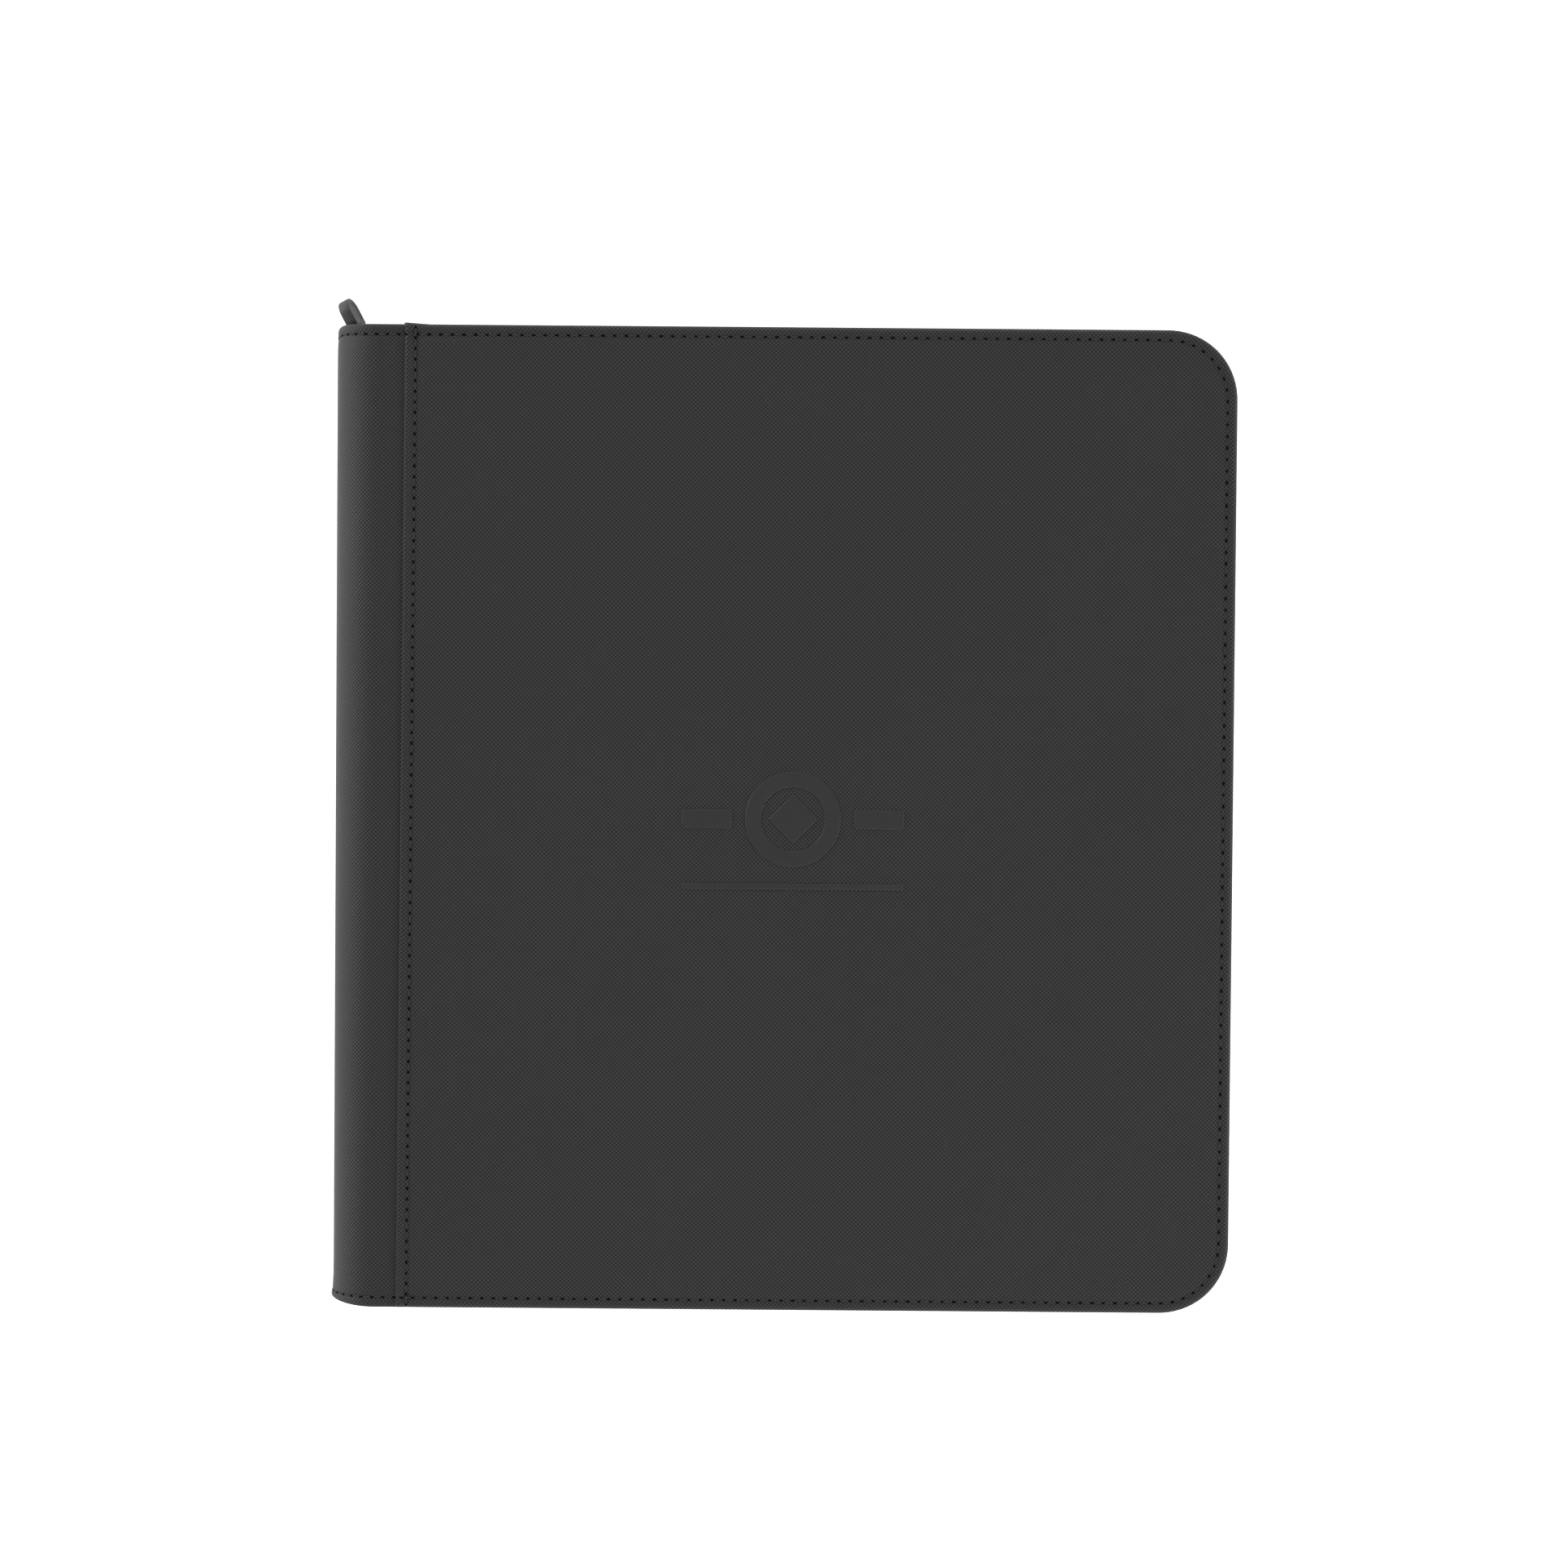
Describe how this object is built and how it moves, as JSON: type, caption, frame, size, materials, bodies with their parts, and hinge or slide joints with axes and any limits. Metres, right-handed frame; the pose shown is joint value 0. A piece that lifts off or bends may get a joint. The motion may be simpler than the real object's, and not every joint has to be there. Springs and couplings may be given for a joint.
{
  "type": "zip-around trading card binder",
  "caption": "Padded book-style binder with a rounded spine, zip round three edges and bound clear pocket pages that hold trading cards.",
  "frame": {"origin": "centre of the back cover's underside, on the surface it lies on; the zip pull that stands out of the top edge is not counted", "axes": "+X from the spine to the opening edge, +Y to the top of the pages, +Z from the back cover to the front cover"},
  "size_m": [0.32, 0.3595, 0.032],
  "materials": {
    "weave_skin": "black coated fabric embossed with a fine basket weave, satin",
    "padding_foam": "grey open foam sheet",
    "cover_board": "grey-brown pressed paper board",
    "lining_cloth": "black fine woven lining, matte",
    "page_sheet": "black matte polypropylene sheet",
    "pocket_film": "clear soft film, glossy",
    "binding_strip": "black welded strip, matte",
    "zip_tape": "black woven zip tape",
    "zip_coil": "black nylon coil, satin",
    "slider_metal": "black lacquered zinc",
    "pull_rubber": "dark grey moulded rubber, matte"
  },
  "bodies": {
    "back_cover": {"back_skin": "weave_skin", "back_foam": "padding_foam", "back_board": "cover_board", "back_lining": "lining_cloth", "crease_wrap_back": "weave_skin", "crease_padding_back": "padding_foam", "crease_lining_back": "lining_cloth", "binding_edge_back": "binding_strip", "pocket_films_back": "pocket_film", "page_01": "page_sheet", "page_02": "page_sheet", "page_03": "page_sheet", "page_04": "page_sheet", "page_05": "page_sheet", "page_06": "page_sheet", "page_07": "page_sheet", "page_08": "page_sheet", "page_09": "page_sheet", "zip_tape_back": "zip_tape", "zip_coil_back": "zip_coil", "zip_stop_top": "slider_metal", "zip_stop_bottom": "slider_metal"},
    "spine": {"spine_wrap": "weave_skin", "spine_padding": "padding_foam", "spine_lining": "lining_cloth", "binding_bar": "binding_strip"},
    "front_cover": {"front_skin": "weave_skin", "front_foam": "padding_foam", "front_board": "cover_board", "front_lining": "lining_cloth", "crease_wrap_front": "weave_skin", "crease_padding_front": "padding_foam", "crease_lining_front": "lining_cloth", "binding_edge_front": "binding_strip", "pocket_films_front": "pocket_film", "page_12": "page_sheet", "page_13": "page_sheet", "page_14": "page_sheet", "page_15": "page_sheet", "page_16": "page_sheet", "page_17": "page_sheet", "page_18": "page_sheet", "page_19": "page_sheet", "page_20": "page_sheet", "zip_tape_front": "zip_tape", "zip_coil_front": "zip_coil"},
    "lower_middle_page": {"page_10": "page_sheet", "pocket_films_page_10": "pocket_film"},
    "upper_middle_page": {"page_11": "page_sheet", "pocket_films_page_11": "pocket_film"},
    "slider": {"slider_body": "slider_metal", "slider_pin": "slider_metal"},
    "zip_pull": {"pull_eye": "slider_metal", "pull_tab": "pull_rubber"}
  },
  "joints": [
    {"name": "spine_fold", "type": "hinge", "parent": "back_cover", "child": "spine", "pos_m": [-0.15657, 0, 0.00343], "axis": [0, -1, 0], "range_deg": [0, 90]},
    {"name": "front_cover_fold", "type": "hinge", "parent": "spine", "child": "front_cover", "pos_m": [-0.15657, 0, 0.02857], "axis": [0, -1, 0], "range_deg": [0, 90]},
    {"name": "lower_middle_page_turn", "type": "hinge", "parent": "spine", "child": "lower_middle_page", "pos_m": [-0.1533, 0, 0.01525], "axis": [0, -1, 0], "range_deg": [-69, 0]},
    {"name": "upper_middle_page_turn", "type": "hinge", "parent": "spine", "child": "upper_middle_page", "pos_m": [-0.1533, 0, 0.01675], "axis": [0, -1, 0], "range_deg": [0, 69]},
    {"name": "zip_slide", "type": "slide", "parent": "back_cover", "child": "slider", "axis": [1, 0, 0], "range_m": [0, 0.265]},
    {"name": "pull_swing", "type": "hinge", "parent": "slider", "child": "zip_pull", "pos_m": [-0.15099, 0.1704, 0.016], "axis": [0, 0, 1], "range_deg": [-88, 5]}
  ],
  "couplings": [
    {"joint": "lower_middle_page_turn", "follows": "spine_fold", "ratio": -0.76},
    {"joint": "upper_middle_page_turn", "follows": "front_cover_fold", "ratio": 0.76}
  ]
}
